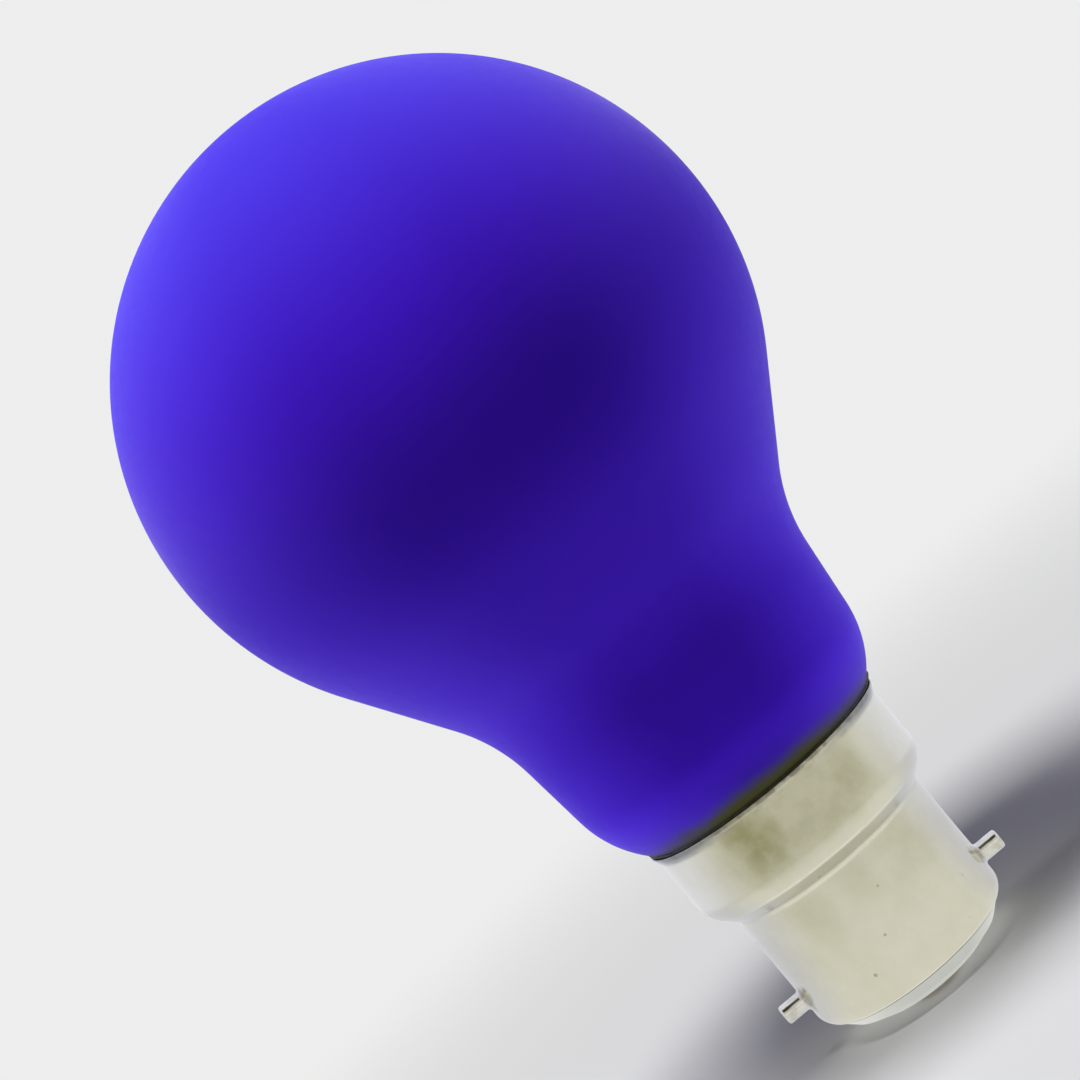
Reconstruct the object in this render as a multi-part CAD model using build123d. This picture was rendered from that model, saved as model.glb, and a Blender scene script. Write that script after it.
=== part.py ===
"""LED bulb of the classic pear shape: an opaque coated envelope in a two-pin bayonet cap.

Millimetres, +Z up along the bulb's axis, with the globe at the top. The origin is on the axis, in the
plane of the end contacts' tips. The bayonet pins point along X and the contacts lie along Y.
"""
import os
from math import atan2, cos, degrees, radians, sin, tan

from build123d import *

# End contacts, from the bottom up
contact_height = 0.45          # a solder dome's height over the insulator's end
contact_spacing = 8.0          # between the two contacts' centres
contact_plate_diameter = 4.8
contact_plate_thickness = 0.5
contact_stem_diameter = 1.6
solder_diameter = 4.2

# Moulded insulator that closes the cap's end
contact_margin = 0.2           # of flat end around the contact plates
insulator_rim_width = 2.0      # of the shallow cone around that flat end, along the radius
insulator_rim_rise = 0.88
insulator_edge_step = 0.08     # by which the shell's end stands proud of the insulator
insulator_head_gap = 0.15      # below the heads of the pins

# Drawn metal shell of the cap
shell_wall = 0.4
shell_end_height = 2.7         # of the shell's lower end above the contacts' tips
barrel_diameter = 21.9
end_width = 0.8                # by which the shell's end is turned in, along the radius
end_angle = 47.4               # degrees from the axis
end_bend_radius = 1.7
barrel_length = 11.96          # from the end's bend to the step
step_width = 2.2               # of the skirt over the barrel, along the radius
step_angle = 45.0              # degrees from the axis
step_shoulder_radius = 2.8
step_fillet_radius = 0.6
skirt_length = 6.73            # from the step to the lip
lip_height = 0.95
lip_flare = 0.42               # of the lip over the skirt, along the radius
lip_bend_radius = 0.5

# Bayonet pins
pin_diameter = 2.0
pin_height = 6.05              # of the pins' axis above the contacts' tips
pin_reach = 2.5                # of a pin's tip beyond the barrel
pin_chamfer = 0.25
pin_head_diameter = 3.0
pin_head_thickness = 0.8
pin_seat_diameter = 1.5        # in the hole through the shell
pin_collar_diameter = 2.5
pin_collar_height = 0.2        # over the barrel

# Cement between the envelope's neck and the shell
cement_gap = 0.15
neck_seat_gap = 0.6            # between the neck's end and the step's shoulder inside the shell
bead_setback = 0.3             # of the bead at the mouth from the lip's outer edge
bead_height = 0.42

# Envelope, from the mouth up
shoulder_height = 7.12
neck_diameter = 33.0           # at the top of the shoulder
neck_taper = 6.4               # degrees from the axis
neck_length = 6.8              # of the straight taper
flare_radius = 17.5            # of the hollow curve from the neck to the globe
flare_angle = 33.2             # degrees from the axis, where the globe runs out
globe_diameter = 62.0

# Levels, radii and angles that follow from the sizes above
barrel_radius = barrel_diameter / 2
skirt_radius = barrel_radius + step_width
barrel_bore = barrel_radius - shell_wall
skirt_bore = skirt_radius - shell_wall
end_turn = radians(end_angle)
end_corner = shell_end_height + end_width / tan(end_turn)
end_half_turn = tan(end_turn / 2)
step_bottom = end_corner + end_bend_radius * end_half_turn + barrel_length
step_top = step_bottom + step_width / tan(radians(step_angle))
step_half_turn = tan(radians(step_angle) / 2)
neck_bottom = step_top + step_shoulder_radius * step_half_turn + neck_seat_gap
lip_base = step_top + skirt_length
lip_angle = atan2(lip_flare, lip_height)
mouth_height = lip_base + lip_height
insulator_top = pin_height - pin_head_diameter / 2 - insulator_head_gap


def revolved(*edges):
    """The solid that a closed outline, drawn as radius and height, sweeps around the axis."""
    return revolve(Plane.XZ * make_face(edges), Axis.Z)


def disc(radius, bottom, top):
    """A disc on the axis, between two levels."""
    return Pos(0, 0, bottom) * extrude(Circle(radius), top - bottom)


def shell_outline(inset):
    """The shell's outline from its mouth to its turned-in end, set in by inset."""
    skirt = skirt_radius - inset
    barrel = barrel_radius - inset
    bend_level = lip_base + inset * tan(lip_angle / 2)
    step_lift = inset * step_half_turn
    corners = [
        (skirt + (mouth_height - bend_level) * tan(lip_angle), mouth_height),
        (skirt, bend_level),
        (skirt, step_top + step_lift),
        (barrel, step_bottom + step_lift),
        (barrel, end_corner + inset * end_half_turn),
        (barrel_radius - end_width - inset * cos(end_turn), shell_end_height + inset * sin(end_turn)),
    ]
    skirt_radii = [lip_bend_radius + inset, step_shoulder_radius - inset]
    barrel_radii = [step_fillet_radius + inset, end_bend_radius - inset]
    return FilletPolyline(*corners, radius=skirt_radii + barrel_radii)


def make_cavity():
    """The space inside the shell, from its turned-in end to its mouth."""
    end = inner_side @ 1
    axis_side = Polyline(inner_mouth, (0, mouth_height), (0, end.Y), end)
    return revolved(inner_side, axis_side)


def rod_along_x(diameter, start, end):
    """A round rod on the pins' axis, between two distances from the bulb's axis."""
    return Plane((start, 0, pin_height), z_dir=(1, 0, 0)) * extrude(Circle(diameter / 2), end - start)


def make_pin():
    """A bayonet pin along +X, with its head seated inside the shell and its collar outside."""
    root = barrel_bore - pin_head_thickness
    shank = rod_along_x(pin_diameter, barrel_radius, barrel_radius + pin_reach)
    shank = chamfer(shank.faces().sort_by(Axis.X)[-1].edges(), pin_chamfer)
    seat = rod_along_x(pin_seat_diameter, root, barrel_radius)
    head = rod_along_x(pin_head_diameter, root, barrel_bore) & cavity
    collar = rod_along_x(pin_collar_diameter, root, barrel_radius + pin_collar_height)
    collar = collar - disc(barrel_radius, 0, step_bottom)
    return head + seat + collar + shank


def make_shell(pins):
    """The drawn shell, a thin wall open at both ends and pierced for the pins."""
    mouth_edge = Line(inner_mouth, outer_mouth)
    return revolved(outer_side, shell_end, inner_side, mouth_edge) - pins


def make_contact_plate():
    """A contact plate, flush with the insulator's end, and its stem up through the insulator."""
    plate = disc(contact_plate_diameter / 2, contact_height, contact_height + contact_plate_thickness)
    stem = disc(contact_stem_diameter / 2, contact_height, insulator_top)
    return Pos(0, -contact_spacing / 2, 0) * (plate + stem)


def make_solder():
    """A domed blob of solder on a contact plate, its tip at the level of the origin."""
    base_radius = solder_diameter / 2
    dome_radius = (base_radius**2 + contact_height**2) / (2 * contact_height)
    half_angle = degrees(atan2(base_radius, dome_radius - contact_height))
    dome = CenterArc((0, dome_radius), dome_radius, -90, half_angle)
    base = Polyline((base_radius, contact_height), (0, contact_height), (0, 0))
    return Pos(0, -contact_spacing / 2, 0) * revolved(dome, base)


def make_insulator(plates):
    """The insulator: a nose below the shell's end and a plug inside it, pierced for the plates."""
    flat_radius = contact_spacing / 2 + contact_plate_diameter / 2 + contact_margin
    flat_edge = (flat_radius, contact_height)
    rim = (flat_radius + insulator_rim_width, contact_height + insulator_rim_rise)
    seam = shell_end @ (insulator_edge_step / shell_wall)
    inner_end = shell_end @ 1
    nose = Polyline((0, inner_end.Y), (0, contact_height), flat_edge, rim, seam, inner_end, close=True)
    plug = cavity & disc(barrel_diameter, 0, insulator_top)
    return revolved(nose) + plug - plates


def make_envelope():
    """The sealed envelope: globe, flare, neck and shoulder, and the stub of the neck inside the cap."""
    taper = radians(neck_taper)
    flare = radians(flare_angle)
    globe_radius = globe_diameter / 2
    stub_radius = skirt_bore - cement_gap
    mouth = Vector(inner_mouth.X - cement_gap, mouth_height)
    neck_base = Vector(neck_diameter / 2, mouth_height + shoulder_height)
    neck_top = neck_base + Vector(sin(taper), cos(taper)) * neck_length
    flare_centre = neck_top + Vector(cos(taper), -sin(taper)) * flare_radius
    flare_top = flare_centre + Vector(-cos(flare), sin(flare)) * flare_radius
    cone_width = globe_radius * cos(flare) - flare_top.X
    cone_top = flare_top + Vector(cone_width, cone_width / tan(flare))
    globe_centre = Vector(0, cone_top.Y + globe_radius * sin(flare))
    crown = globe_centre + Vector(0, globe_radius)
    return revolved(
        CenterArc(globe_centre, globe_radius, 90, -90 - flare_angle),
        Line(cone_top, flare_top),
        TangentArc(flare_top, neck_top, tangent=(-sin(flare), -cos(flare))),
        Line(neck_top, neck_base),
        TangentArc(neck_base, mouth, tangent=(-sin(taper), -cos(taper))),
        Polyline(mouth, (stub_radius, lip_base), (stub_radius, neck_bottom), (0, neck_bottom), crown),
    )


def make_cement():
    """The cement: a sleeve between the neck and the skirt, with a bead in the corner over the lip."""
    sleeve = cavity & disc(skirt_radius + lip_flare, neck_bottom, mouth_height)
    bead = disc(outer_mouth.X - bead_setback, mouth_height, mouth_height + bead_height)
    return sleeve + bead - envelope


# Both faces of the shell, as outlines, and the space inside them
outer_side = shell_outline(0)
inner_side = shell_outline(shell_wall)
outer_mouth = outer_side @ 0
inner_mouth = inner_side @ 0
shell_end = Line(outer_side @ 1, inner_side @ 1)
cavity = make_cavity()

# The pieces, with the left and rear ones turned half round from the right and front ones
half_turn = Rot(Z=180)
right_pin = make_pin()
left_pin = half_turn * right_pin
front_plate = make_contact_plate()
rear_plate = half_turn * front_plate
front_solder = make_solder()
rear_solder = half_turn * front_solder
envelope = make_envelope()

parts = {
    "bulb_envelope": envelope,
    "basing_cement": make_cement(),
    "cap_shell": make_shell(right_pin + left_pin),
    "bayonet_pin_left": left_pin,
    "bayonet_pin_right": right_pin,
    "cap_insulator": make_insulator(front_plate + rear_plate),
    "contact_plate_front": front_plate,
    "contact_plate_rear": rear_plate,
    "contact_solder_front": front_solder,
    "contact_solder_rear": rear_solder,
}
os.makedirs("parts", exist_ok=True)
for name, shape in parts.items():
    export_step(shape, f"parts/{name}.step")
    box = shape.bounding_box()
    print(f"{name}: {shape.volume:.1f} mm3, z {box.min.Z:.2f} to {box.max.Z:.2f}")
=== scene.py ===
# %% [markdown]
# A blue coated bulb in a bayonet cap.
# The CAD model of the bulb is loaded first, as a fixed frame in metres. The bulb stands upright in it,
# with its end contacts at the origin. The pieces that show are then modelled again in the same places,
# with the soft edges and the finishes that the plain solids lack.

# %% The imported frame
from math import asin, atan2, cos, exp, pi, radians, sin, tan

import bmesh
import bpy
from mathutils import Matrix, Vector, noise


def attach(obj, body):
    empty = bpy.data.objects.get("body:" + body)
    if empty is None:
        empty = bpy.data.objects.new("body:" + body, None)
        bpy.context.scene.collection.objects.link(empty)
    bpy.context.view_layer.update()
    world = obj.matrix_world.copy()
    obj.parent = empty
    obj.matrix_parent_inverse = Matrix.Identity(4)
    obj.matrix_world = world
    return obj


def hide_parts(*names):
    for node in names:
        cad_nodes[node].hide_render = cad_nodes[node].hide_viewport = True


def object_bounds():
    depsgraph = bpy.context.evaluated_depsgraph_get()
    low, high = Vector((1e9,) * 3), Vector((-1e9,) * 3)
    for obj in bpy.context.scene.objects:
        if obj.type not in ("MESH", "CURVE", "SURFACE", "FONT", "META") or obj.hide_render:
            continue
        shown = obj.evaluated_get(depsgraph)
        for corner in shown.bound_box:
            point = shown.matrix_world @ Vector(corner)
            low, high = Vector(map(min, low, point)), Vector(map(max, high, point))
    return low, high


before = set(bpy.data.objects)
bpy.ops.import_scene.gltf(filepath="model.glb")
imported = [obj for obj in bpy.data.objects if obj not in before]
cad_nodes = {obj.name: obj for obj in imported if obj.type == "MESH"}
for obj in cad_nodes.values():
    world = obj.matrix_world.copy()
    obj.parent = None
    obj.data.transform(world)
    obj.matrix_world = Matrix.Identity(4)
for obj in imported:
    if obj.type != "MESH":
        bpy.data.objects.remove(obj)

cad_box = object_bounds()
scene = bpy.context.scene
scene.view_settings.view_transform = "Standard"
mm = 0.001
print("CAD box, mm:", [[round(x / mm, 2) for x in corner] for corner in cad_box])

# %% [markdown]
# The camera comes before the pieces, because every later choice is judged through it. The bulb lies
# aslant in the picture, but it stands upright here. So the camera is rolled, and the bulb isn't turned.

# %% Camera
camera_distance = 250 * mm
camera_tilt = radians(2.48)
camera_roll = radians(39.8)
camera_aim = Vector((-2.17 * mm, 0, 56.23 * mm))
sensor_width = 36
focal_length = 87.56
nearest_seen = 10 * mm

camera_data = bpy.data.cameras.new("camera")
camera_data.sensor_width = sensor_width
camera_data.lens = focal_length
camera_data.clip_start = nearest_seen
camera = bpy.data.objects.new("camera", camera_data)
scene.collection.objects.link(camera)
towards_camera = Vector((0, -cos(camera_tilt), sin(camera_tilt)))
camera_turn = Matrix.Rotation(pi / 2 - camera_tilt, 4, "X") @ Matrix.Rotation(-camera_roll, 4, "Z")
camera.matrix_world = Matrix.Translation(camera_aim + towards_camera * camera_distance) @ camera_turn
scene.camera = camera
print("camera at, mm:", [round(x / mm, 1) for x in camera.location])

# %% [markdown]
# Nodes are easier to read when one line makes each of them. These helpers add a node with its settings
# and its input values, and a link is made by giving an output socket as a value. The usual sums, steps
# and mixes have a helper each, which gives an output socket, so that they can be nested.

# %% Node helpers
def add_node(tree, kind, settings=None, **values):
    """A node of that kind, with settings as attributes and values, or links, on its inputs."""
    node = tree.nodes.new(kind)
    for name, value in (settings or {}).items():
        setattr(node, name, value)
    for name, value in values.items():
        set_input(tree, node, name, value)
    return node


def set_input(tree, node, name, value):
    """Links a socket to an input, given by its name or number, or sets the input's own value."""
    if isinstance(value, bpy.types.NodeSocket):
        tree.links.new(value, node.inputs[name])
    else:
        node.inputs[name].default_value = value


def compute(tree, operation, first, second=0.0):
    """A Math node, by its output."""
    node = add_node(tree, "ShaderNodeMath", {"operation": operation})
    set_input(tree, node, 0, first)
    set_input(tree, node, 1, second)
    return node.outputs[0]


def times(tree, first, second):
    """A product, by its output."""
    return compute(tree, "MULTIPLY", first, second)


def vector(tree, operation, first, second=(0, 0, 0)):
    """A Vector Math node, by its outputs."""
    node = add_node(tree, "ShaderNodeVectorMath", {"operation": operation})
    set_input(tree, node, 0, first)
    set_input(tree, node, 1, second)
    return node.outputs


def towards(tree, ray, aim):
    """The dot product of a ray, or a place, and a direction, by its output."""
    return vector(tree, "DOT_PRODUCT", ray, aim)["Value"]


def ramp(tree, value, low, high, start=0.0, end=1.0):
    """A smooth step of a value from low to high, by its output."""
    node = add_node(tree, "ShaderNodeMapRange", {"interpolation_type": "SMOOTHSTEP"}, Value=value)
    set_input(tree, node, "From Min", low)
    set_input(tree, node, "From Max", high)
    set_input(tree, node, "To Min", start)
    set_input(tree, node, "To Max", end)
    return node.outputs[0]


def blend(tree, mask, first, second):
    """A mix of two colours by a mask, by its output."""
    node = add_node(tree, "ShaderNodeMix", {"data_type": "RGBA"})
    set_input(tree, node, 0, mask)
    set_input(tree, node, 6, first)
    set_input(tree, node, 7, second)
    return node.outputs[2]


def lay_on(tree, colour, mask, strength, second):
    """A colour with a second one laid on it by a mask of that strength, by its output."""
    return blend(tree, times(tree, mask, strength), colour, second)


def mix_shaders(tree, mask, first, second, output):
    """Mixes two shaders by a mask into the tree's output node."""
    mix = add_node(tree, "ShaderNodeMixShader", Fac=mask)
    tree.links.new(first.outputs[0], mix.inputs[1])
    tree.links.new(second.outputs[0], mix.inputs[2])
    tree.links.new(mix.outputs[0], tree.nodes[output].inputs["Surface"])


def object_place(tree):
    """Object coordinates, in metres, by their output."""
    return add_node(tree, "ShaderNodeTexCoord").outputs["Object"]


def object_xyz(tree):
    """Object coordinates, in metres, by an output for each axis."""
    return add_node(tree, "ShaderNodeSeparateXYZ", Vector=object_place(tree)).outputs

# %% [markdown]
# The stage is a pale floor that fades into a pale world, so that no horizon shows behind the bulb. Light
# Path tells the rays apart. The camera sees one even pale tone. Gloss sees a studio that is cool and pale
# at the sides and warm on the camera's side, with a bright band at the horizon, a bright roof and a dark
# patch between them, because metal only looks like metal when what it mirrors is uneven.

# %% World
backdrop = (0.85, 0.85, 0.85, 1)
pale_side = (0.86, 0.87, 0.95, 1)
camera_side = (0.73, 0.715, 0.62, 1)
bright = (1.0, 0.99, 0.95, 1)
dark_patch = (0.08, 0.08, 0.07, 1)
patch_height = radians(60)
world_strength = 0.02
# Soft edges between the tones, as sines of a ray's height or cosines to a direction
horizon_foot = (0.00, 0.06)
horizon_top = (0.14, 0.26)
patch_edge = (0.92, 0.965)
roof_edge = (0.975, 0.993)
side_edge = (-0.6, 0.5)

def facing_camera(tree, ray):
    """How far a ray turns to the camera's side, from 0 to 1, by its output."""
    return ramp(tree, towards(tree, ray, (0, -1, 0)), *side_edge)


world = bpy.data.worlds.new("pale_studio")
world.use_nodes = True
scene.world = world
tree = world.node_tree
dim = tree.nodes["Background"]
dim.inputs["Color"].default_value = (1.0, 1.0, 1.0, 1)
dim.inputs["Strength"].default_value = world_strength
path = add_node(tree, "ShaderNodeLightPath").outputs
direction = add_node(tree, "ShaderNodeTexCoord").outputs["Generated"]
faces = facing_camera(tree, direction)
rise = towards(tree, direction, (0, 0, 1))
horizon = times(tree, ramp(tree, rise, *horizon_foot), ramp(tree, rise, *horizon_top, 1.0, 0.0))
over_camera = towards(tree, direction, (0, -cos(patch_height), sin(patch_height)))
studio = blend(tree, faces, pale_side, camera_side)
studio = lay_on(tree, studio, horizon, faces, bright)
studio = blend(tree, ramp(tree, over_camera, *patch_edge), studio, dark_patch)
studio = blend(tree, ramp(tree, rise, *roof_edge), studio, bright)
tone = blend(tree, path["Is Glossy Ray"], backdrop, studio)
pale = add_node(tree, "ShaderNodeBackground", Color=tone, Strength=1.0)
seen = compute(tree, "MAXIMUM", path["Is Camera Ray"], path["Is Glossy Ray"])
seen = compute(tree, "MAXIMUM", seen, path["Is Transmission Ray"])
mix_shaders(tree, seen, dim, pale, "World Output")
print("world of strength", world_strength)

# %% [markdown]
# The floor is a wide disc just under the contacts. It keeps the bulb's shadow, and further out it fades
# into the backdrop. Gloss sees other tones on it, which change with the side and with the distance from
# the cap. The light that falls on the bulb comes from the lamps and the floor, with very little from the
# world.

# %% Floor
floor_radius = 2.5
floor_drop = 0.02 * mm
paint_seen = (0.55, 0.55, 0.55, 1)
paint_bounced = (0.33, 0.33, 0.33, 1)
near_side = (0.70, 0.71, 0.77, 1)
near_front = (0.84, 0.83, 0.75, 1)
# Distances from the cap, in metres, over which the tones change
side_spread = (0.045, 0.11)
front_spread = (0.02, 0.085)
shadow_spread = (0.05, 0.25)

bm = bmesh.new()
bmesh.ops.create_circle(bm, cap_ends=True, segments=96, radius=floor_radius)
bmesh.ops.translate(bm, verts=bm.verts, vec=(0, 0, -floor_drop))
floor_mesh = bpy.data.meshes.new("floor")
bm.to_mesh(floor_mesh)
bm.free()
floor = bpy.data.objects.new("floor", floor_mesh)
scene.collection.objects.link(floor)

floor_paint = bpy.data.materials.new("floor_paint")
floor_paint.use_nodes = True
tree = floor_paint.node_tree
paint = tree.nodes["Principled BSDF"]
paint.inputs["Roughness"].default_value = 0.9
paint.inputs["Specular IOR Level"].default_value = 0.1
path = add_node(tree, "ShaderNodeLightPath").outputs
tree.links.new(blend(tree, path["Is Camera Ray"], paint_bounced, paint_seen), paint.inputs["Base Color"])
place = object_place(tree)
reach = vector(tree, "LENGTH", place)["Value"]
way = vector(tree, "NORMALIZE", place)["Vector"]
side_tone = blend(tree, ramp(tree, reach, *side_spread), near_side, pale_side)
front_tone = blend(tree, ramp(tree, reach, *front_spread), near_front, camera_side)
mirrored = blend(tree, facing_camera(tree, way), side_tone, front_tone)
tone = blend(tree, path["Is Camera Ray"], mirrored, backdrop)
glow = add_node(tree, "ShaderNodeEmission", Color=tone, Strength=1.0)
far = times(tree, ramp(tree, reach, *shadow_spread), path["Is Camera Ray"])
mix_shaders(tree, compute(tree, "MAXIMUM", far, path["Is Glossy Ray"]), paint, glow, "Material Output")
floor_mesh.materials.append(floor_paint)
print("floor of radius", floor_radius, "m")

# %% [markdown]
# A lamp hangs over the bulb and two low ones stand beside it, a little behind, so the side towards the
# camera stays the darkest, as on the real bulb. Two small round lamps lie about the cap and face up, and
# give the neck and the globe's underside the light that a bright table would. Gloss should show the pale
# studio and not the lamps, so the lamps are hidden from glossy rays.

# %% Lamps
def add_lamp(name, shape, place, aim, width, power):
    """An area lamp that faces a point, and that neither the camera nor the gloss sees."""
    data = bpy.data.lights.new(name, "AREA")
    data.shape = shape
    data.size = width
    data.energy = power
    lamp = bpy.data.objects.new(name, data)
    lamp.location = place
    lamp.visible_camera = False
    lamp.visible_glossy = False
    lamp.rotation_mode = "QUATERNION"
    lamp.rotation_quaternion = (Vector(aim) - lamp.location).to_track_quat("-Z", "Y")
    scene.collection.objects.link(lamp)
    print("lamp", name, "at", place, "m,", power, "W")


globe_middle = (0.0, 0.0, 0.06)
add_lamp("top_lamp", "SQUARE", (-0.05, -0.15, 0.68), globe_middle, width=0.24, power=5.8)
add_lamp("left_lamp", "SQUARE", (-0.55, 0.16, 0.075), globe_middle, width=0.14, power=2.2)
add_lamp("right_lamp", "SQUARE", (0.55, 0.16, 0.075), globe_middle, width=0.14, power=2.0)
add_lamp("neck_lamp", "DISK", (0.0, 0.0, 0.012), globe_middle, width=0.07, power=0.012)
add_lamp("table_lamp", "DISK", (0.0, 0.0, 0.0), globe_middle, width=0.12, power=0.019)

# %% [markdown]
# Almost every piece of a bulb is turned about an axis, so each starts as a line in the XZ plane that is
# drawn with a pen: a straight stroke extrudes the pen's vertex, and a round stroke spins it. A second
# spin, about the bulb's own axis, then turns the line into a surface. A screw modifier could do that
# too, but the operator leaves a plain mesh that the next operator can work on.

# %% Pen and lathe
merge_distance = 0.0005 * mm

def pen_at(bm, radius, height):
    """The first vertex of a line."""
    return bm.verts.new((radius, 0, height))


def stroke_to(bm, pen, radius, height):
    """A straight stroke, which leaves the pen at its end."""
    pen = bmesh.ops.extrude_vert_indiv(bm, verts=[pen])["verts"][0]
    pen.co = (radius, 0, height)
    return pen


def round_stroke(bm, pen, centre, angle, steps):
    """A round stroke about a centre, clockwise for a positive angle, with +X to the right."""
    middle = (centre[0], 0, centre[1])
    spun = bmesh.ops.spin(bm, geom=[pen], cent=middle, axis=(0, 1, 0), angle=angle, steps=steps)
    return [part for part in spun["geom_last"] if isinstance(part, bmesh.types.BMVert)][0]


def soften(bm, corner, offset, segments):
    """Rounds one corner of a drawn line. The offset is measured along the line."""
    how = {"affect": "VERTICES", "segments": segments, "profile": 0.5, "material": -1}
    bmesh.ops.bevel(bm, geom=[corner], offset=offset, **how)


def turn_on_lathe(bm, steps, axis=(0, 0, 1)):
    """Turns the drawn line once about an axis through the origin, and closes the seam and the poles."""
    drawn = bm.verts[:] + bm.edges[:]
    bmesh.ops.spin(bm, geom=drawn, cent=(0, 0, 0), axis=axis, angle=2 * pi, steps=steps, use_merge=True)
    bmesh.ops.remove_doubles(bm, verts=bm.verts, dist=merge_distance)
    bmesh.ops.recalc_face_normals(bm, faces=bm.faces)


def finish_piece(bm, name, node, sharp_angle=50):
    """Makes the piece's object, smooth but for its sharp edges, in place of its CAD node."""
    mesh = bpy.data.meshes.new(name)
    bm.to_mesh(mesh)
    bm.free()
    mesh.shade_smooth()
    mesh.set_sharp_from_angle(angle=radians(sharp_angle))
    piece = bpy.data.objects.new(name, mesh)
    scene.collection.objects.link(piece)
    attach(piece, "root")
    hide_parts(node)
    print(name, "has", len(mesh.polygons), "faces")
    return piece

# %% [markdown]
# The envelope is blown glass with an opaque coat. Its line starts at the crown and runs down the globe,
# along a short cone, round the hollow flare, down the tapered neck and round the shoulder, and ends in
# the stub that the cap hides. Each round stroke is tangent to the next stroke, so no ridge shows. Gloss
# doesn't see the envelope, because its blue image would otherwise cover the pale metal below it.

# %% Envelope
mouth_height = 26.02 * mm
shoulder_height = 7.12 * mm
neck_radius = 16.5 * mm
neck_taper = radians(6.4)
neck_length = 6.8 * mm
flare_radius = 17.5 * mm
flare_angle = radians(33.2)
globe_radius = cad_box[1].y
crown_height = cad_box[1].z
mouth_radius = 12.98 * mm
stub_radius = 12.6 * mm
stub_top = 25.07 * mm
stub_bottom = 20.10 * mm

neck_base = Vector((neck_radius, mouth_height + shoulder_height))
neck_top = neck_base + Vector((sin(neck_taper), cos(neck_taper))) * neck_length
flare_centre = neck_top + Vector((cos(neck_taper), -sin(neck_taper))) * flare_radius
flare_top = flare_centre + Vector((-cos(flare_angle), sin(flare_angle))) * flare_radius
globe_centre = Vector((0, crown_height - globe_radius))
to_mouth = Vector((mouth_radius, mouth_height)) - neck_base
inward = Vector((-cos(neck_taper), sin(neck_taper)))
shoulder_radius = to_mouth.length_squared / (2 * inward.dot(to_mouth))
shoulder_centre = neck_base + inward * shoulder_radius
shoulder_turn = 2 * asin(to_mouth.length / (2 * shoulder_radius))

bm = bmesh.new()
pen = pen_at(bm, 0, crown_height)
pen = round_stroke(bm, pen, globe_centre, pi / 2 + flare_angle, steps=72)
pen = stroke_to(bm, pen, flare_top.x, flare_top.y)
pen = round_stroke(bm, pen, flare_centre, neck_taper - flare_angle, steps=16)
pen = stroke_to(bm, pen, neck_base.x, neck_base.y)
pen = round_stroke(bm, pen, shoulder_centre, shoulder_turn, steps=24)
pen = stroke_to(bm, pen, stub_radius, stub_top)
pen = stroke_to(bm, pen, stub_radius, stub_bottom)
pen = stroke_to(bm, pen, 0, stub_bottom)
turn_on_lathe(bm, steps=192)
envelope = finish_piece(bm, "coated_envelope", "bulb_envelope")
envelope.visible_glossy = False

# %% [markdown]
# Dark cement holds the neck in the cap. Only its bead shows, squeezed out over the lip, so that is where
# the work goes: the ring is turned like the rest, and its outer vertices are then moved a little, with
# smooth noise, because no bead of cement is even. It bulges at both sides, and on the right past the lip.

# %% Cement
lip_bore = 13.13 * mm
skirt_bore = 12.75 * mm
bead_radius = 13.25 * mm
# The bead's outer side, as steps out from its radius and up from the mouth, in mm
bead_side = ((-0.02, 0.00), (0.02, 0.06), (0.02, 0.13), (-0.02, 0.20))
bead_foot = 0.05 * mm
right_bulge = 0.60 * mm
right_angle = radians(4)
right_spread = radians(20)
left_bulge = 0.24 * mm
left_spread = radians(32)
bulge_rise = 0.8
# Waves in the bead, as a height in metres and a scale
long_wave = (0.05 * mm, 700)
short_wave = (0.03 * mm, 2600)
top_wave = (0.05 * mm, 900)
top_shift = Vector((7, 0, 0))

bm = bmesh.new()
first = pen_at(bm, stub_radius, stub_bottom)
pen = stroke_to(bm, first, skirt_bore, stub_bottom)
pen = stroke_to(bm, pen, skirt_bore, stub_top)
pen = stroke_to(bm, pen, lip_bore, mouth_height)
for step_out, step_up in bead_side:
    pen = stroke_to(bm, pen, bead_radius + step_out * mm, mouth_height + step_up * mm)
pen = stroke_to(bm, pen, mouth_radius, mouth_height)
pen = stroke_to(bm, pen, stub_radius, stub_top)
bmesh.ops.contextual_create(bm, geom=[pen, first])
turn_on_lathe(bm, steps=240)
for vert in bm.verts:
    if vert.co.z > mouth_height + bead_foot:
        out = vert.co.xy.normalized()
        turn = atan2(out.y, out.x)
        swell = right_bulge * exp(-((turn - right_angle) / right_spread) ** 2)
        swell += left_bulge * exp(-((abs(turn) - pi) / left_spread) ** 2)
        ripple = long_wave[0] * noise.noise(vert.co * long_wave[1])
        ripple += short_wave[0] * noise.noise(vert.co * short_wave[1])
        vert.co.xy += out * (swell + ripple)
        vert.co.z += bulge_rise * swell + top_wave[0] * noise.noise(vert.co * top_wave[1] + top_shift)
cement = finish_piece(bm, "cement_bead", "basing_cement")

# %% [markdown]
# The cap's shell is one drawn sheet of metal. Its line goes down the outside and up the inside, with
# sharp corners first. A vertex bevel then rounds each corner to its own radius, which keeps the sizes
# readable: how far a corner is cut back follows from its radius and the angle that it turns.

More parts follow.
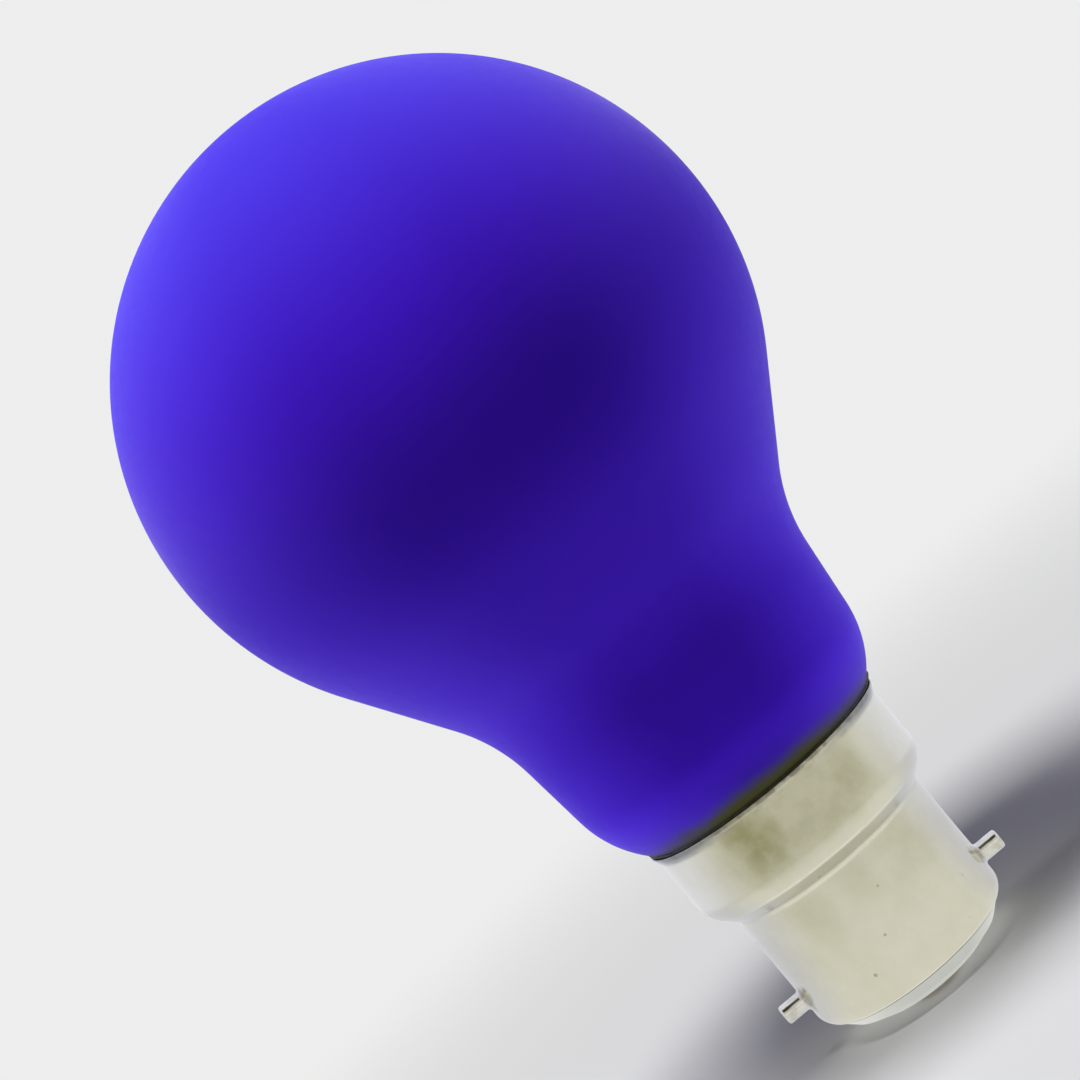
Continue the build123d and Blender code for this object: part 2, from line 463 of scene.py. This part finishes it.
# %% Shell
shell_wall = 0.4 * mm
shell_end = 2.7 * mm
barrel_radius = 10.95 * mm
barrel_length = 11.96 * mm
end_width = 0.8 * mm
end_turn = radians(47.4)
end_bend = 1.7 * mm
end_edge = 0.06 * mm
step_width = 2.2 * mm
step_turn = radians(45)
step_shoulder = 2.8 * mm
step_fillet = 0.6 * mm
lip_height = 0.95 * mm
lip_flare = 0.42 * mm
lip_turn = atan2(lip_flare, lip_height)
lip_bend = 0.5 * mm
outer_edge = 0.15 * mm
inner_edge = 0.07 * mm
end_corner = shell_end + end_width / tan(end_turn)
step_bottom = end_corner + end_bend * tan(end_turn / 2) + barrel_length
step_top = step_bottom + step_width / tan(step_turn)
skirt_radius = barrel_radius + step_width

def shell_line(bm, inset):
    """The corners of the shell's outside, from the mouth to the turned-in end, set in by a wall."""
    lip_level = stub_top + inset * tan(lip_turn / 2)
    lift = inset * tan(step_turn / 2)
    skirt = skirt_radius - inset
    barrel = barrel_radius - inset
    mouth = skirt + (mouth_height - lip_level) * tan(lip_turn)
    end_radius = barrel_radius - end_width
    places = [
        (mouth, mouth_height),
        (skirt, lip_level),
        (skirt, step_top + lift),
        (barrel, step_bottom + lift),
        (barrel, end_corner + inset * tan(end_turn / 2)),
        (end_radius - inset * cos(end_turn), shell_end + inset * sin(end_turn)),
    ]
    corners = [pen_at(bm, *places[0])]
    for place in places[1:]:
        corners.append(stroke_to(bm, corners[-1], *place))
    return corners


bm = bmesh.new()
outer_corners = shell_line(bm, 0)
inner_corners = shell_line(bm, shell_wall)
bmesh.ops.contextual_create(bm, geom=[outer_corners[0], inner_corners[0]])
bmesh.ops.contextual_create(bm, geom=[outer_corners[5], inner_corners[5]])
for corners, inset, mouth_edge in ((outer_corners, 0, outer_edge), (inner_corners, shell_wall, inner_edge)):
    soften(bm, corners[0], mouth_edge, segments=5)
    soften(bm, corners[1], (lip_bend + inset) * tan(lip_turn / 2), segments=6)
    soften(bm, corners[2], (step_shoulder - inset) * tan(step_turn / 2), segments=12)
    soften(bm, corners[3], (step_fillet + inset) * tan(step_turn / 2), segments=8)
    soften(bm, corners[4], (end_bend - inset) * tan(end_turn / 2), segments=12)
    soften(bm, corners[5], end_edge, segments=3)
turn_on_lathe(bm, steps=192)
shell = finish_piece(bm, "drawn_shell", "cap_shell")

# %% [markdown]
# Each bayonet pin is a small turned rivet: a head inside the shell, a narrow seat through its wall, a low
# collar that flares out onto the barrel, and a shank with a rounded tip. It is turned about its own axis,
# and the second pin is the first one turned half round the bulb.

# %% Pins
pin_height = 6.05 * mm
pin_radius = 1.0 * mm
pin_tip = barrel_radius + 2.5 * mm
pin_round = 0.28 * mm
collar_radius = 1.40 * mm
collar_back = barrel_radius - 0.1 * mm
# The collar's flare, as steps out from the barrel and from the shank, in mm
collar_flare = ((0.04, 0.19), (0.10, 0.08), (0.18, 0.02), (0.28, 0.0))
seat_radius = 0.75 * mm
head_radius = 1.5 * mm
head_face = barrel_radius - shell_wall - 0.8 * mm
head_seat = barrel_radius - shell_wall - 0.15 * mm

def make_pin(name, node, half_turns):
    """A pin along +X, turned about its axis and then set round the bulb."""
    bm = bmesh.new()
    line = [(head_face, head_radius), (head_seat, head_radius), (head_seat, seat_radius)]
    line += [(collar_back, seat_radius), (collar_back, collar_radius)]
    line += [(barrel_radius + rise * mm, pin_radius + flare * mm) for rise, flare in collar_flare]
    line += [(pin_tip, pin_radius), (pin_tip, 0)]
    corners = [pen_at(bm, head_face, 0)]
    for along, radius in line:
        corners.append(stroke_to(bm, corners[-1], along, radius))
    tip_corner = corners[-2]
    soften(bm, tip_corner, pin_round, segments=5)
    turn_on_lathe(bm, steps=48, axis=(1, 0, 0))
    bmesh.ops.translate(bm, verts=bm.verts, vec=(0, 0, pin_height))
    bmesh.ops.rotate(bm, verts=bm.verts, cent=(0, 0, 0), matrix=Matrix.Rotation(half_turns * pi, 3, "Z"))
    return finish_piece(bm, name, node, sharp_angle=60)


right_pin = make_pin("pin_right", "bayonet_pin_right", 0)
left_pin = make_pin("pin_left", "bayonet_pin_left", 1)

# %% [markdown]
# The two contacts are blobs of solder. A dome is turned first, and smooth noise then makes it as uneven
# as solder is. Its tip stays at the level of the origin, where the holder's plungers press on it.

# %% Solder
solder_radius = 2.1 * mm
solder_height = 0.45 * mm
solder_wave = 0.10 * mm
wave_scale = 900
calm_radius = 0.6 * mm
flat_depth = 0.01 * mm
contact_offset = 4.0 * mm
dome_radius = (solder_radius ** 2 + solder_height ** 2) / (2 * solder_height)
dome_turn = asin(solder_radius / dome_radius)

def make_solder(name, node, side, seed):
    """A dome of solder under the front or the rear contact plate."""
    bm = bmesh.new()
    pen = pen_at(bm, 0, 0)
    pen = round_stroke(bm, pen, (0, dome_radius), -dome_turn, steps=14)
    pen = stroke_to(bm, pen, 0, solder_height)
    turn_on_lathe(bm, steps=64)
    for vert in bm.verts:
        if vert.co.z < solder_height - flat_depth:
            lift = noise.noise(vert.co * wave_scale + Vector((seed, 0, 0))) * solder_wave
            vert.co.z = max(0, vert.co.z + lift * min(1, vert.co.xy.length / calm_radius))
    bmesh.ops.translate(bm, verts=bm.verts, vec=(0, side * contact_offset, 0))
    return finish_piece(bm, name, node)


front_solder = make_solder("solder_front", "contact_solder_front", side=-1, seed=3.0)
rear_solder = make_solder("solder_rear", "contact_solder_rear", side=1, seed=11.0)

# %% [markdown]
# Finishes come next. Four effects are shared by several of them, so each is a node group with its own
# inputs: soft clouds for stains and uneven colour, sparse specks for dust and spots, fine grain for what
# a finger would feel, and a ring about the axis, for dirt in seams and for painted shade, reflection and
# highlights at edges. All of them read Object coordinates, so nothing has to be unwrapped.

# %% Shared effects
def new_group(name, inputs, output):
    """A shader node group with number inputs and one number output. It gives the tree and its ends."""
    tree = bpy.data.node_groups.new(name, "ShaderNodeTree")
    for socket_name, value in inputs.items():
        socket = tree.interface.new_socket(socket_name, in_out="INPUT", socket_type="NodeSocketFloat")
        socket.default_value = value
    tree.interface.new_socket(output, in_out="OUTPUT", socket_type="NodeSocketFloat")
    start = tree.nodes.new("NodeGroupInput")
    end = tree.nodes.new("NodeGroupOutput")
    return tree, start.outputs, end.inputs[output]


def shifted_place(tree, seed):
    """Object coordinates, moved by a seed so that two uses of an effect differ."""
    return vector(tree, "ADD", object_place(tree), seed)["Vector"]


clouds, ins, out = new_group("soft_clouds", {"Scale": 100.0, "Low": 0.4, "High": 0.7, "Seed": 0.0}, "Mask")
place = shifted_place(clouds, ins["Seed"])
cloud = add_node(clouds, "ShaderNodeTexNoise", Vector=place, Scale=ins["Scale"], Detail=3.0, Roughness=0.55)
clouds.links.new(ramp(clouds, cloud.outputs[0], ins["Low"], ins["High"]), out)

speck_inputs = {"Scale": 400.0, "Share": 0.05, "Size": 0.3, "Stretch": 1.0, "Seed": 0.0}
specks, ins, out = new_group("sparse_specks", speck_inputs, "Mask")
stretch = add_node(specks, "ShaderNodeCombineXYZ", X=1.0, Y=1.0, Z=ins["Stretch"]).outputs[0]
place = vector(specks, "MULTIPLY", shifted_place(specks, ins["Seed"]), stretch)["Vector"]
cells = add_node(specks, "ShaderNodeTexVoronoi", Vector=place, Scale=ins["Scale"])
chance = add_node(specks, "ShaderNodeSeparateColor", Color=cells.outputs["Color"])
kept = compute(specks, "LESS_THAN", chance.outputs[0], ins["Share"])
reach = times(specks, chance.outputs[1], ins["Size"])
dot = ramp(specks, cells.outputs["Distance"], times(specks, reach, 0.4), reach, 1.0, 0.0)
specks.links.new(times(specks, kept, dot), out)

grain, ins, out = new_group("fine_grain", {"Scale": 1500.0, "Seed": 0.0}, "Height")
place = shifted_place(grain, ins["Seed"])
fine = add_node(grain, "ShaderNodeTexNoise", Vector=place, Scale=ins["Scale"], Detail=2.0, Roughness=0.5)
grain.links.new(fine.outputs[0], out)

ring_inputs = {"Radius": 0.01, "Height": 0.0, "Near": 0.0001, "Far": 0.0002}
dirt_and_light_ring, ins, out = new_group("ring_dirt_and_light", ring_inputs, "Mask")
place = object_xyz(dirt_and_light_ring)
flat = add_node(dirt_and_light_ring, "ShaderNodeCombineXYZ", X=place[0], Y=place[1]).outputs[0]
out_by = compute(dirt_and_light_ring, "SUBTRACT", vector(dirt_and_light_ring, "LENGTH", flat)["Value"], ins["Radius"])
up_by = compute(dirt_and_light_ring, "SUBTRACT", place[2], ins["Height"])
away = add_node(dirt_and_light_ring, "ShaderNodeCombineXYZ", X=out_by, Y=up_by).outputs[0]
away = vector(dirt_and_light_ring, "LENGTH", away)["Value"]
dirt_and_light_ring.links.new(ramp(dirt_and_light_ring, away, ins["Near"], ins["Far"], 1.0, 0.0), out)
print("node groups:", [group.name for group in bpy.data.node_groups])

# %% [markdown]
# Each finish is a Principled shader whose colour, roughness and bump come from those effects. These
# helpers start a material, place an effect in it, and put the material on a piece.

# %% Material helpers
def new_material(name, metallic=0.0):
    """A material, its node tree and its Principled shader."""
    material = bpy.data.materials.new(name)
    material.use_nodes = True
    shader = material.node_tree.nodes["Principled BSDF"]
    shader.inputs["Metallic"].default_value = metallic
    return material, material.node_tree, shader


def use_group(tree, group, **values):
    """A shared effect in a material, with its own values, by its output."""
    return add_node(tree, "ShaderNodeGroup", {"node_tree": group}, **values).outputs[0]


def use_ring(tree, radius, height, near, far):
    """A ring about the axis, for dirt and for painted shade, reflection and highlights, with its sizes in
    mm, by its output.
    """
    sizes = {"Radius": radius * mm, "Height": height * mm, "Near": near * mm, "Far": far * mm}
    return use_group(tree, dirt_and_light_ring, **sizes)


def between(tree, mask, start, end):
    """A mask with its range brought from 0 and 1 to start and end, by its output."""
    return ramp(tree, mask, 0.0, 1.0, start, end)


def add_roughness(tree, shader, height, smooth, rough):
    """A roughness that follows a grain's height."""
    tree.links.new(ramp(tree, height, 0.2, 0.8, smooth, rough), shader.inputs["Roughness"])


def add_bump(tree, shader, height, depth, strength):
    """A bump of that depth, in metres, on the shader's normal."""
    bump = add_node(tree, "ShaderNodeBump", Height=height, Distance=depth, Strength=strength)
    tree.links.new(bump.outputs[0], shader.inputs["Normal"])


def wear_material(piece, material):
    """Puts a material on a piece, or on a CAD node that stays."""
    piece.data.materials.clear()
    piece.data.materials.append(material)

# %% [markdown]
# The coat is a satin lacquer, an opaque violet blue with hardly any gloss. A low specular level keeps it
# deep where it is seen straight on, and a little sheen makes its edges pale and soft, like fine powder.
# The blue pales at the crown, which is a painted highlight. Towards the cap it darkens with painted shade,
# most of all in the middle, and just over the cap it is stained by the cement, olive at the front and the
# back and dark blue over the pins.
# The stain's soft and uneven upper edge follows the height over the cap, and it lies lower over the pins.

# %% Blue coat
deep_blue = (0.050, 0.0065, 0.565, 1)
clear_blue = (0.053, 0.0072, 0.595, 1)
crown_painted_highlight = (0.053, 0.027, 0.58, 1)
dust_blue = (0.30, 0.27, 0.75, 1)
painted_shade_blue = (0.004, 0.001, 0.020, 1)
olive_stain = (0.041, 0.041, 0.011, 1)
blue_stain = (0.026, 0.023, 0.068, 1)

blue_coat, tree, shader = new_material("blue_coat")
shader.inputs["Specular IOR Level"].default_value = 0.02
shader.inputs["Sheen Weight"].default_value = 0.09
place = object_xyz(tree)
side = compute(tree, "ABSOLUTE", place[0])

uneven = use_group(tree, clouds, Scale=55.0, Low=0.3, High=0.7)
blue = blend(tree, uneven, deep_blue, clear_blue)
# Painted highlight: the colour pales towards the crown.
blue = blend(tree, ramp(tree, place[2], 77.0 * mm, 102.0 * mm), blue, crown_painted_highlight)
dust = use_group(tree, specks, Scale=260.0, Share=0.035, Size=0.07)
blue = lay_on(tree, blue, dust, 0.35, dust_blue)
lower = ramp(tree, side, 8.0 * mm, 13.5 * mm, 0.0, 0.7 * mm)
wavy = use_group(tree, clouds, Scale=170.0, Low=0.25, High=0.75, Seed=4.0)
level = compute(tree, "ADD", lower, times(tree, wavy, 0.7 * mm))
level = compute(tree, "ADD", place[2], level)
# Painted shade over the cap, darkest in the middle.
painted_shade = ramp(tree, level, 27.6 * mm, 32.2 * mm, 0.34, 0.0)
middle = ramp(tree, level, 28.0 * mm, 33.6 * mm, 1.0, 0.0)
middle = times(tree, middle, ramp(tree, side, 1.0 * mm, 6.0 * mm, 0.20, 0.0))
blue = blend(tree, compute(tree, "ADD", painted_shade, middle), blue, painted_shade_blue)
stain = blend(tree, ramp(tree, side, 5.0 * mm, 12.0 * mm), olive_stain, blue_stain)
blue = blend(tree, ramp(tree, level, 26.9 * mm, 29.0 * mm, 1.0, 0.0), blue, stain)
tree.links.new(blue, shader.inputs["Base Color"])
peel = use_group(tree, grain, Scale=900.0)
add_roughness(tree, shader, peel, 0.48, 0.58)
add_bump(tree, shader, peel, 0.02 * mm, 0.25)
wear_material(envelope, blue_coat)

# %% [markdown]
# The shell is thin drawn metal with a satin surface, a little warm in colour. It is stained where it was
# handled and heated: soft olive clouds on the skirt, fainter ones on the barrel, a few small dark spots,
# and short faint scratches. The clouds are placed one by one, as distances from a point, and broken up
# with the shared clouds. Painted shade darkens the barrel at the pins' roots. Rings about the axis darken
# the lip just under the cement and in its bend, and the seam at the shell's end with dirt and painted
# shade. At the front only, painted shade darkens the step and painted highlights brighten the edges. A
# painted reflection makes the lip greyer at both sides.

# %% Cap metal
bare = (0.77, 0.76, 0.685, 1)
warm = (0.735, 0.722, 0.625, 1)
painted_highlight = (0.95, 0.94, 0.90, 1)
olive = (0.34, 0.34, 0.17, 1)
soil_and_shade = (0.16, 0.14, 0.10, 1)
lip_painted_reflection = (0.20, 0.21, 0.25, 1)
lip_radius = 13.55
# Stains, and painted shade at the pins' roots, as a centre and how far they reach, in mm, and a strength
skirt_stains = (
    ((-4.7, -12.3, 23.2), 6.0, 0.82),
    ((5.6, -11.9, 22.8), 4.0, 0.52),
    ((4.0, 12.4, 21.8), 5.0, 0.55),
)
barrel_stains = (
    ((-5.0, -9.7, 13.8), 3.6, 0.17),
    ((5.8, -9.3, 13.2), 4.0, 0.17),
    ((0.5, -10.9, 14.6), 3.0, 0.17),
)
pin_root_painted_shade = (
    ((-10.7, -2.3, 6.5), 1.4, 0.66),
    ((10.7, -2.3, 6.5), 1.4, 0.66),
)
# Painted highlights on the edges, at the front, as a radius, a height and a width, in mm, and a strength
painted_edge_highlights = (
    (13.39, 25.60, 0.16, 0.18),
    (12.44, 17.65, 0.30, 0.42),
    (10.96, 15.97, 0.26, 0.42),
    (10.26, 2.80, 0.14, 0.80),
)

def stain_and_shade_at(tree, centre, far, strength, near=0.3):
    """A tall patch about a point, in mm, for stains and painted shade, with a wavering edge: full up to
    near and gone at far.
    """
    flat = Vector((1.0, 1.0, 0.80))
    place = vector(tree, "MULTIPLY", object_place(tree), flat)["Vector"]
    away = vector(tree, "DISTANCE", place, Vector(centre) * flat * mm)["Value"]
    waver = use_group(tree, clouds, Scale=150.0, Low=0.2, High=0.8, Seed=centre[0])
    away = compute(tree, "ADD", away, times(tree, waver, 1.4 * mm))
    return ramp(tree, away, (near + 0.7) * mm, (far + 0.7) * mm, strength, 0.0)


cap_metal, tree, shader = new_material("cap_metal", metallic=1.0)
place = object_xyz(tree)
side = compute(tree, "ABSOLUTE", place[0])
film = use_group(tree, clouds, Scale=260.0, Low=0.25, High=0.75, Seed=9.0)
colour = blend(tree, film, bare, warm)

stained = stain_and_shade_at(tree, (0.0, -13.0, 22.8), 9.5, 0.40, near=3.0)
for centre, far, strength in skirt_stains:
    stained = compute(tree, "MAXIMUM", stained, stain_and_shade_at(tree, centre, far, strength))
stained = times(tree, stained, ramp(tree, place[2], 17.2 * mm, 20.6 * mm))
for centre, far, strength in barrel_stains:
    stained = compute(tree, "MAXIMUM", stained, stain_and_shade_at(tree, centre, far, strength))
broken = between(tree, use_group(tree, clouds, Scale=120.0, Low=0.2, High=0.75, Seed=2.0), 0.8, 1.0)
mottle = use_group(tree, clouds, Scale=480.0, Low=0.3, High=0.7, Seed=31.0)
broken = times(tree, broken, between(tree, mottle, 0.86, 1.12))
colour = lay_on(tree, colour, stained, broken, olive)
colour = lay_on(tree, colour, mottle, 0.035, soil_and_shade)
spots = use_group(tree, specks, Scale=300.0, Share=0.85, Size=0.090, Seed=5.0)
colour = lay_on(tree, colour, spots, 0.46, soil_and_shade)
scratches = use_group(tree, specks, Scale=330.0, Share=0.75, Size=0.06, Stretch=0.20, Seed=21.0)
colour = lay_on(tree, colour, scratches, 0.22, soil_and_shade)

# Dirt and painted shade in the seam at the shell's end.
seam = use_ring(tree, 10.15, 2.70, 0.05, 0.13)
colour = lay_on(tree, colour, seam, 0.75, soil_and_shade)
smear = between(tree, use_group(tree, clouds, Scale=520.0, Low=0.4, High=0.7, Seed=14.0), 0.45, 1.0)
bend = times(tree, use_ring(tree, 13.18, 25.3, 0.10, 0.34), smear)
colour = lay_on(tree, colour, bend, 0.28, soil_and_shade)
# Painted shade at the pins' roots.
for centre, far, strength in pin_root_painted_shade:
    colour = blend(tree, stain_and_shade_at(tree, centre, far, strength), colour, soil_and_shade)
flecks = between(tree, use_group(tree, clouds, Scale=950.0, Low=0.35, High=0.65, Seed=25.0), 0.40, 0.78)
colour = lay_on(tree, colour, use_ring(tree, lip_radius, mouth_height / mm, 0.24, 0.74), flecks, soil_and_shade)
# Painted reflection: the lip greyer at both sides.
painted_reflection_sides = ramp(tree, side, 4.0 * mm, 11.0 * mm, 0.0, 0.72)
colour = lay_on(tree, colour, use_ring(tree, lip_radius, mouth_height / mm, 0.30, 1.35), painted_reflection_sides, lip_painted_reflection)

# Painted shade in the step, at the front only.
front = ramp(tree, side, 6.0 * mm, 10.5 * mm, 1.0, 0.0)
step_painted_shade = times(tree, use_ring(tree, 11.73, 16.92, 0.66, 0.86), front)
colour = lay_on(tree, colour, step_painted_shade, 0.27, soil_and_shade)
# Painted highlights on the edges, at the front only.
uneven = between(tree, use_group(tree, clouds, Scale=420.0, Low=0.3, High=0.6, Seed=17.0), 0.4, 1.0)
uneven = times(tree, uneven, front)
for radius, height, far, strength in painted_edge_highlights:
    ring = times(tree, use_ring(tree, radius, height, 0.05, far), uneven)
    colour = lay_on(tree, colour, ring, strength, painted_highlight)
tree.links.new(colour, shader.inputs["Base Color"])
rub = use_group(tree, grain, Scale=900.0, Seed=3.0)
add_roughness(tree, shader, rub, 0.12, 0.19)
add_bump(tree, shader, rub, 0.006 * mm, 0.10)
wear_material(shell, cap_metal)

# %% [markdown]
# The pins are plated and brighter than the shell, so they mirror the studio in sharp streaks. Fine lines
# run around each of them, as turning leaves them. A ragged dark streak, which is a painted reflection,
# runs along the upper front of each, and is strongest towards the tip.

# %% Pin metal
bright_plate = (0.76, 0.755, 0.74, 1)
dull_plate = (0.60, 0.585, 0.55, 1)
painted_reflection_dark = (0.07, 0.065, 0.05, 1)
streak_turn = radians(36)
streak_aim = (0, -cos(streak_turn), sin(streak_turn))

pin_metal, tree, shader = new_material("pin_metal", metallic=1.0)
place = object_place(tree)
dull = use_group(tree, clouds, Scale=900.0, Low=0.35, High=0.75, Seed=1.0)
plate = blend(tree, dull, bright_plate, dull_plate)
# Painted reflection: a dark streak along the upper front of each pin.
height = compute(tree, "SUBTRACT", towards(tree, place, streak_aim), pin_height * sin(streak_turn))
ragged = use_group(tree, clouds, Scale=1500.0, Low=0.3, High=0.7, Seed=13.0)
height = compute(tree, "SUBTRACT", height, times(tree, ragged, 0.030 * mm))
side = compute(tree, "ABSOLUTE", object_xyz(tree)[0])
shank = ramp(tree, side, 11.1 * mm, 12.6 * mm, 0.3, 1.0)
streak = ramp(tree, height, 0.955 * mm, 0.995 * mm, 0.0, 0.62)
tree.links.new(lay_on(tree, plate, streak, shank, painted_reflection_dark), shader.inputs["Base Color"])
along = add_node(tree, "ShaderNodeMapping", Vector=place, Scale=(9.0, 0.4, 0.4))
lines = add_node(tree, "ShaderNodeTexNoise", Vector=along.outputs[0], Scale=900.0, Detail=2.0).outputs[0]
add_roughness(tree, shader, lines, 0.08, 0.17)
add_bump(tree, shader, lines, 0.01 * mm, 0.4)
wear_material(right_pin, pin_metal)
wear_material(left_pin, pin_metal)

# %% [markdown]
# The cement is dark and grainy, with an olive tone at the front and the back and a grey one over the pins.

# %% Cement finish
cement_dark = (0.013, 0.013, 0.008, 1)
cement_olive = (0.036, 0.036, 0.009, 1)
cement_grey = (0.036, 0.042, 0.046, 1)

dark_cement, tree, shader = new_material("dark_cement")
side = compute(tree, "ABSOLUTE", object_xyz(tree)[0])
paler = blend(tree, ramp(tree, side, 5.0 * mm, 12.0 * mm), cement_olive, cement_grey)
patch = use_group(tree, clouds, Scale=700.0, Low=0.35, High=0.7)
tree.links.new(blend(tree, patch, cement_dark, paler), shader.inputs["Base Color"])
crumb = use_group(tree, grain, Scale=4200.0)
add_roughness(tree, shader, crumb, 0.55, 0.85)
add_bump(tree, shader, crumb, 0.06 * mm, 0.6)
wear_material(cement, dark_cement)

# %% [markdown]
# The insulator is smooth moulded plastic with a few specks. Its seam under the shell's end is dark with
# dirt and painted shade. It stays as a CAD solid, because its plain turned shape is right.

# %% Insulator finish
plastic = (0.80, 0.815, 0.77, 1)
plastic_shade = (0.735, 0.75, 0.705, 1)
plastic_grit = (0.25, 0.24, 0.21, 1)
seam_dirt_and_shade = (0.09, 0.08, 0.06, 1)

insulator_plastic, tree, shader = new_material("insulator_plastic")
patch = use_group(tree, clouds, Scale=160.0, Low=0.3, High=0.75, Seed=6.0)
grey = blend(tree, patch, plastic, plastic_shade)
grit = use_group(tree, specks, Scale=600.0, Share=0.05, Size=0.2, Seed=8.0)
grey = lay_on(tree, grey, grit, 0.5, plastic_grit)
# Dirt and painted shade in the seam under the shell's end.
grey = lay_on(tree, grey, use_ring(tree, 10.10, 2.75, 0.19, 0.32), 0.8, seam_dirt_and_shade)
tree.links.new(grey, shader.inputs["Base Color"])
matt = use_group(tree, grain, Scale=2600.0, Seed=2.0)
add_roughness(tree, shader, matt, 0.42, 0.55)
add_bump(tree, shader, matt, 0.02 * mm, 0.2)
wear_material(cad_nodes["cap_insulator"], insulator_plastic)

# %% [markdown]
# The contact plates are brass that has dulled, and they stay as CAD solids too. The solder on them is
# grey, with patches of dark flux.

# %% Contact finishes
brass = (0.66, 0.50, 0.24, 1)
dull_brass = (0.42, 0.30, 0.14, 1)
solder_grey = (0.50, 0.50, 0.51, 1)
flux_brown = (0.20, 0.17, 0.12, 1)

contact_brass, tree, shader = new_material("contact_brass", metallic=1.0)
dull = use_group(tree, clouds, Scale=650.0, Low=0.3, High=0.7, Seed=7.0)
tree.links.new(blend(tree, dull, brass, dull_brass), shader.inputs["Base Color"])
tree.links.new(between(tree, dull, 0.30, 0.50), shader.inputs["Roughness"])
for name in ("contact_plate_front", "contact_plate_rear"):
    wear_material(cad_nodes[name], contact_brass)

solder, tree, shader = new_material("solder", metallic=1.0)
flux = use_group(tree, clouds, Scale=800.0, Low=0.45, High=0.75, Seed=12.0)
tree.links.new(blend(tree, flux, solder_grey, flux_brown), shader.inputs["Base Color"])
ridge = use_group(tree, grain, Scale=1600.0, Seed=5.0)
add_roughness(tree, shader, ridge, 0.28, 0.50)
add_bump(tree, shader, ridge, 0.05 * mm, 0.5)
wear_material(front_solder, solder)
wear_material(rear_solder, solder)
print("materials:", sorted(material.name for material in bpy.data.materials if material.users))
